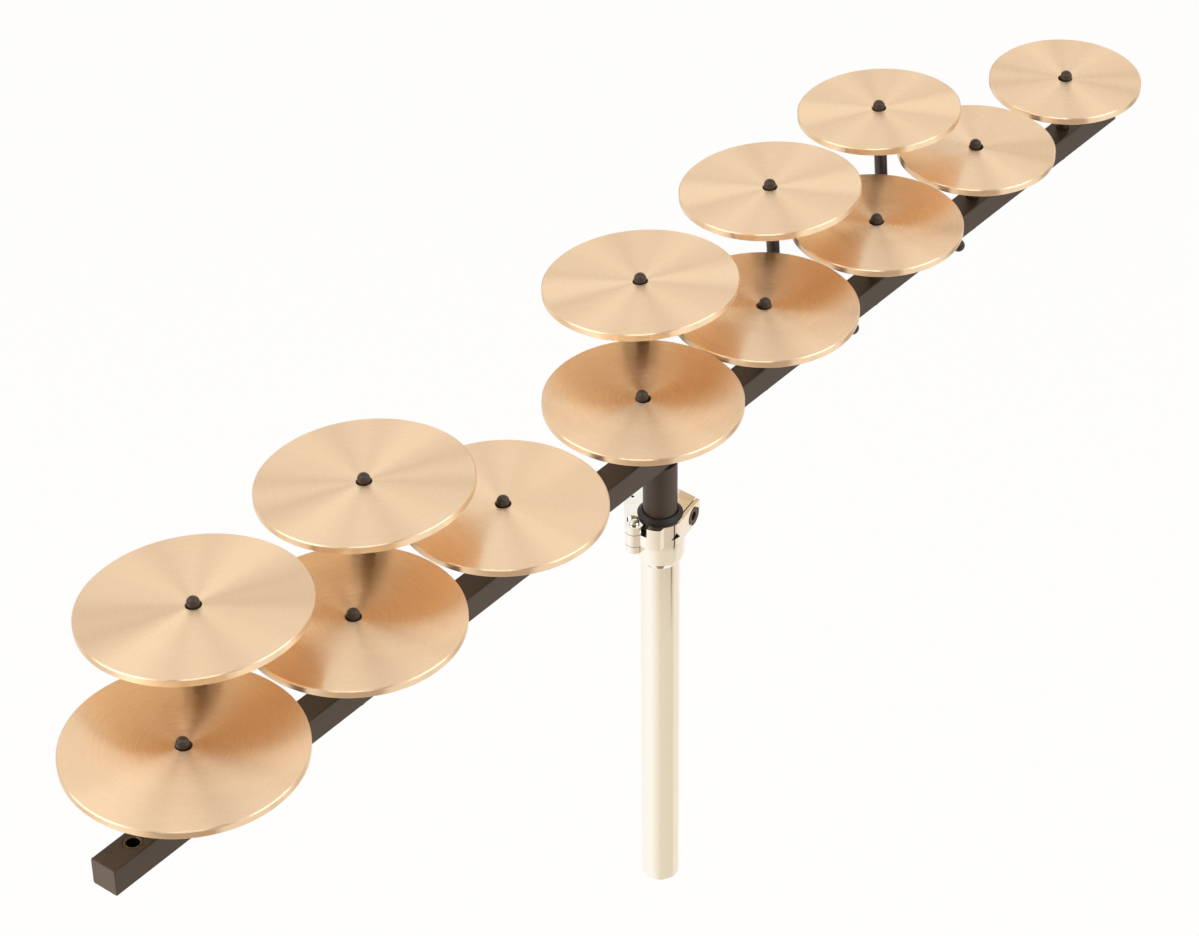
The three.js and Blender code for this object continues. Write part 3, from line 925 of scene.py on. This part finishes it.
low, high = (Vector(corner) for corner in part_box("clamp_screw"))
head, shank = (high.z - low.z) / 2, SCREW_SHANK / 2
front = Vector((
    high.x - head * math.cos(CLAMP_TURN),
    low.y + head * math.sin(CLAMP_TURN),
    (low.z + high.z) / 2,
))
inwards = Vector((-math.sin(CLAMP_TURN), math.cos(CLAMP_TURN), 0))
profile = [
    (0, 0),
    (head - EDGE_ROUND, 0),
    (head, EDGE_ROUND),
    (head, SCREW_HEAD_THICK),
    (shank, SCREW_HEAD_THICK),
    (shank, SCREW_LONG),
    (0, SCREW_LONG),
]
turn = UP.rotation_difference(inwards)
screw = turned("clamp_screw", profile, rod_coat, front, sides=64, closed=False, turn=turn)
socket = cylinder_cutter((0, 0, 0), (0, 0, 1), SOCKET_FLATS / math.sqrt(3), SOCKET_DEEP, sides=6)
cut(screw, [socket])
show_smooth(screw.data)
even_shading(screw)
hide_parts("clamp_screw")
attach(screw, "clamp_screw")
print("made the hinge screw and the clamp screw")

# %% [markdown]
# ## Camera
# The camera stands to the left of the set and looks down at it by 37.5 degrees, with a long lens,
# 2.1 metres from the middle of the bar. It was found from the rims of the discs in the photograph.

# %% Camera
CAMERA_PLACE = (-1.3208, -1.0368, 1.5943)
CAMERA_AZIMUTH = -50.72
CAMERA_TILT = 52.46
CAMERA_ROLL = -0.73
CAMERA_LENS = 114.57
SENSOR_WIDTH = 36

camera_data = bpy.data.cameras.new("camera")
camera_data.lens = CAMERA_LENS
camera_data.sensor_width = SENSOR_WIDTH
camera = bpy.data.objects.new("camera", camera_data)
bpy.context.scene.collection.objects.link(camera)
camera.location = CAMERA_PLACE
camera.rotation_mode = "QUATERNION"
turn = Quaternion()
for axis, degrees in [
    ((0, 0, 1), CAMERA_AZIMUTH),
    ((1, 0, 0), CAMERA_TILT),
    ((0, 0, 1), CAMERA_ROLL),
]:
    turn = turn @ Quaternion(axis, math.radians(degrees))
camera.rotation_quaternion = turn
bpy.context.scene.camera = camera
print("camera at", CAMERA_PLACE)

# %% [markdown]
# ## Floor and cards
# The set is shown on plain white. The floor lies well below the tube's end, where the feet of a
# stand would be, and camera rays see it as nearly full white. Chrome only looks like chrome when
# it has something to reflect, so photographers lay cards round a piece, outside the picture. A
# ring of card lies round the stand here: beige towards the camera, paler round the sides, and
# white behind, with a narrow dark strip near its outer edge that draws the thin dark line down the
# tube. Only reflections see the card, and they see the room below instead of the floor itself.

# %% Floor and cards
FLOOR_DROP = 0.6
FLOOR_HALF = 12.0
FLOOR_WHITENESS = 0.9
CARD_NEAR, CARD_FAR = 0.45, 1.2
TONE_NEAR, TONE_FAR = 0.94, 1.08
CARD_RISE = 0.01
CARD_SIDES = 48
CAMERA_SIDE = math.degrees(math.atan2(CAMERA_PLACE[1], CAMERA_PLACE[0]))


def degrees_share(tree, place):
    """Goes from 0 to 1 round the stand, with 0.5 at the camera's side."""
    around = add_node(
        tree, "VectorRotate",
        {"Vector": place, "Angle": -math.radians(CAMERA_SIDE)},
        rotation_type="Z_AXIS",
    ).outputs["Vector"]
    return add_node(tree, "TexGradient", {"Vector": around}, gradient_type="RADIAL").outputs["Fac"]


def by_degrees(steps):
    """Steps of (degrees from the camera's side, tone) as steps of (share, tone)."""
    return [(0.5 + degrees / 360, tone) for degrees, tone in steps]


def sheet_mesh(name, half_x, half_y):
    mesh = bpy.data.meshes.new(name)
    x, y = half_x, half_y
    mesh.from_pydata([(-x, -y, 0), (x, -y, 0), (x, y, 0), (-x, y, 0)], [], [(0, 1, 2, 3)])
    return mesh


def only_reflected(piece):
    """Lets reflections alone see a piece that stands outside the picture."""
    piece.visible_camera = False
    piece.visible_diffuse = False
    piece.visible_shadow = False


def make_floor_paper():
    material, tree, surface = start_material("white_paper_floor")
    tree.nodes.remove(surface)
    output = tree.nodes["Material Output"]
    paper = add_node(tree, "BsdfDiffuse", {"Color": linear("FAF9F7")}).outputs["BSDF"]
    white = add_node(
        tree, "Emission", {"Color": linear("FFFFFF"), "Strength": 1.0},
    ).outputs["Emission"]
    seen = add_node(tree, "LightPath").outputs["Is Camera Ray"]
    part_seen = add_node(
        tree, "Math", {0: seen, 1: FLOOR_WHITENESS}, operation="MULTIPLY",
    ).outputs["Value"]
    mixed = add_node(tree, "MixShader", {0: part_seen, 1: paper, 2: white})
    tree.links.new(mixed.outputs["Shader"], output.inputs["Surface"])
    return material


def make_card(name, near_steps, far_steps, near, far):
    """Card stock with one row of tones round it near the stand, and another far from it."""
    material, tree, surface = start_material(name)
    place = add_node(tree, "TexCoord").outputs["Object"]
    flat = add_node(tree, "VectorMath", {0: place, 1: (1, 1, 0)}, operation="MULTIPLY").outputs[0]
    distance = add_node(tree, "VectorMath", {0: flat}, operation="LENGTH").outputs["Value"]
    share = add_node(
        tree, "MapRange", {"Value": distance, "From Min": near, "From Max": far},
    ).outputs["Result"]
    around = degrees_share(tree, place)
    tone = add_node(
        tree, "Mix",
        {
            "Factor": share,
            "A": colour_steps(tree, around, by_degrees(near_steps)),
            "B": colour_steps(tree, around, by_degrees(far_steps)),
        },
        data_type="RGBA",
    ).outputs["Result"]
    tree.links.new(tone, surface.inputs["Base Color"])
    surface.inputs["Roughness"].default_value = 0.9
    return material


floor_mesh = sheet_mesh("floor", FLOOR_HALF, FLOOR_HALF)
floor = new_piece("floor", floor_mesh, make_floor_paper(), (0, 0, -FLOOR_DROP))
floor.visible_glossy = False


def ring_card(name, near, far, near_steps, far_steps, tone_near, tone_far):
    """Lays a ring of card on the floor round the stand."""
    mesh = bpy.data.meshes.new(name)
    points = []
    for k in range(CARD_SIDES):
        angle = math.tau * k / CARD_SIDES
        for radius in (near, far):
            points.append((radius * math.cos(angle), radius * math.sin(angle), CARD_RISE))
    faces = []
    for k in range(CARD_SIDES):
        after = (k + 1) % CARD_SIDES
        faces.append((2 * k, 2 * k + 1, 2 * after + 1, 2 * after))
    mesh.from_pydata(points, [], faces)
    paper = make_card(name + "_stock", near_steps, far_steps, tone_near, tone_far)
    only_reflected(new_piece(name, mesh, paper, (0, 0, -FLOOR_DROP)))


NEAR_STEPS = [
    (-180, "FFFFFF"),
    (-60, "FFFFFF"),
    (-28, "F6F0E6"),
    (2, "E6DBC9"),
    (78, "E2D9C6"),
    (92, "F4ECE1"),
    (120, "F4ECE1"),
    (150, "FFFAF5"),
    (180, "FFFFFF"),
]
FAR_STEPS = [
    (-180, "FFFFFF"),
    (-60, "FFFFFF"),
    (-28, "F0E4D8"),
    (2, "D9CABA"),
    (62, "D4C5B4"),
    (66, "3A2E26"),
    (73, "3A2E26"),
    (77, "DCCCBA"),
    (100, "F4E8DC"),
    (150, "FFFAF5"),
    (180, "FFFFFF"),
]
ring_card("ring_card", CARD_NEAR, CARD_FAR, NEAR_STEPS, FAR_STEPS, TONE_NEAR, TONE_FAR)
print("the card's tones are counted from the side at", round(CAMERA_SIDE, 1), "degrees")

# %% [markdown]
# ## Light
# The room is one soft sky, pale and a little warm, as a studio with wooden walls is. It is dim
# right overhead and dark low round the walls, and one narrow dim band goes round it a third of the
# way up. The turned faces blur what they reflect along their radius only. To both sides the low
# discs take in nothing but the dim band, and elsewhere mostly white, which gives their tan and
# pale wedges. The dark foot of the walls draws the thin dark lines along the clamp's edges. Below
# the horizon the room has a few darker things in it, and they band the polished rims. A softbox
# high over the camera adds a highlight on the domed tips and on the edges, and two lower ones at
# the sides brighten the wedges of the discs that face them. A brown-grey cloth hangs on the
# camera's side, and the raised rims show it by way of the discs below them.

# %% Light
DISC_LEVEL = 0.36
SET_MIDDLE = (0, 0, DISC_LEVEL)
CLOTH_HALF_WIDE, CLOTH_HALF_HIGH = 1.25, 0.7

# A place is the degrees from the camera's side, the degrees up and the metres away. A size is in
# metres, and a power in watts.
CLOTH_PLACE = (2, 37, 2.5)
SOFTBOXES = [
    ("high_softbox", (-10, 64, 2.8), (1.2, 1.2), 10),
    ("left_softbox", (-72, 33, 1.9), (1.4, 0.8), 7),
    ("right_softbox", (72, 37, 1.9), (1.3, 0.6), 5),
]


def area_light(name, place, target, size, power):
    light = bpy.data.lights.new(name, "AREA")
    light.shape = "RECTANGLE"
    light.size, light.size_y = size
    light.energy = power
    lamp = bpy.data.objects.new(name, light)
    bpy.context.scene.collection.objects.link(lamp)
    lamp.location = place
    lamp.rotation_euler = (Vector(target) - Vector(place)).to_track_quat("-Z", "Y").to_euler()


def round_the_set(degrees, height_degrees, distance):
    """A place seen from the discs at those degrees from the camera's side, and that high up."""
    around = math.radians(CAMERA_SIDE + degrees)
    up = math.radians(height_degrees)
    flat, rise = distance * math.cos(up), distance * math.sin(up)
    return (flat * math.cos(around), flat * math.sin(around), DISC_LEVEL + rise)


for name, place, size, power in SOFTBOXES:
    area_light(name, round_the_set(*place), SET_MIDDLE, size, power)

cloth_mesh = sheet_mesh("dark_cloth", CLOTH_HALF_WIDE, CLOTH_HALF_HIGH)
cloth_stock, tree, surface = start_material("dark_grey_cloth")
weave = add_node(tree, "TexNoise", {"Scale": 40.0, "Detail": 2.0}).outputs["Fac"]
cloth_tone = colour_steps(tree, weave, [(0.0, "746658"), (1.0, "847668")])
tree.links.new(cloth_tone, surface.inputs["Base Color"])
surface.inputs["Roughness"].default_value = 0.95
cloth = new_piece("dark_cloth", cloth_mesh, cloth_stock, round_the_set(*CLOTH_PLACE))
cloth.rotation_euler = (Vector(SET_MIDDLE) - cloth.location).to_track_quat("Z", "Y").to_euler()
only_reflected(cloth)

SKY_STEPS = [
    (0.0, "5A4E44"),
    (0.08, "6A5C50"),
    (0.12, "FFF8F0"),
    (0.31, "FFF4E6"),
    (0.41, "F8F0EA"),
    (0.5, "FFFDFA"),
    (0.526, "F2E6D8"),
    (0.54, "7E5842"),
    (0.565, "7E5842"),
    (0.582, "FFFFFF"),
    (0.605, "FFFFFF"),
    (0.64, "FAE6D6"),
    (0.695, "FFFFFF"),
    (0.743, "F2E6DC"),
    (0.829, "FFFAF4"),
    (0.927, "FAEEE6"),
    (1.0, "8A7870"),
]
GROUND_STEPS = [
    (-180, "BDAA9D"),
    (-156, "BDAA9D"),
    (-146, "FFFFFF"),
    (-116, "F4ECE4"),
    (-97, "DECEBC"),
    (-81, "F0E4D6"),
    (-62, "FFFFFF"),
    (-40, "FFFAF4"),
    (-28, "CDB8A4"),
    (-12, "9C846F"),
    (28, "9C846F"),
    (34, "FFFFFF"),
    (100, "FFFCF8"),
    (110, "AFA090"),
    (124, "AFA090"),
    (132, "F8F0E8"),
    (150, "F8F0E8"),
    (160, "BDAA9D"),
    (180, "BDAA9D"),
]

HORIZON_LOW, HORIZON_HIGH = -0.05, 0.02

world = bpy.data.worlds.new("studio_room")
bpy.context.scene.world = world
world.use_nodes = True
tree = world.node_tree
background = tree.nodes["Background"]
direction = add_node(tree, "TexCoord").outputs["Generated"]
height = add_node(tree, "SeparateXYZ", {0: direction}).outputs["Z"]
sky = colour_steps(tree, height, SKY_STEPS)
ground = colour_steps(tree, degrees_share(tree, direction), by_degrees(GROUND_STEPS))
above = add_node(
    tree, "MapRange", {"Value": height, "From Min": HORIZON_LOW, "From Max": HORIZON_HIGH},
).outputs["Result"]
room = add_node(
    tree, "Mix", {"Factor": above, "A": ground, "B": sky}, data_type="RGBA",
).outputs["Result"]
seen = add_node(tree, "LightPath").outputs["Is Camera Ray"]
colour = add_node(
    tree, "Mix", {"Factor": seen, "A": room, "B": linear("FFFFFF")}, data_type="RGBA",
).outputs["Result"]
tree.links.new(colour, background.inputs["Color"])
background.inputs["Strength"].default_value = 1.0
bpy.context.scene.view_settings.view_transform = "Standard"
print("floor at", -FLOOR_DROP, "m")
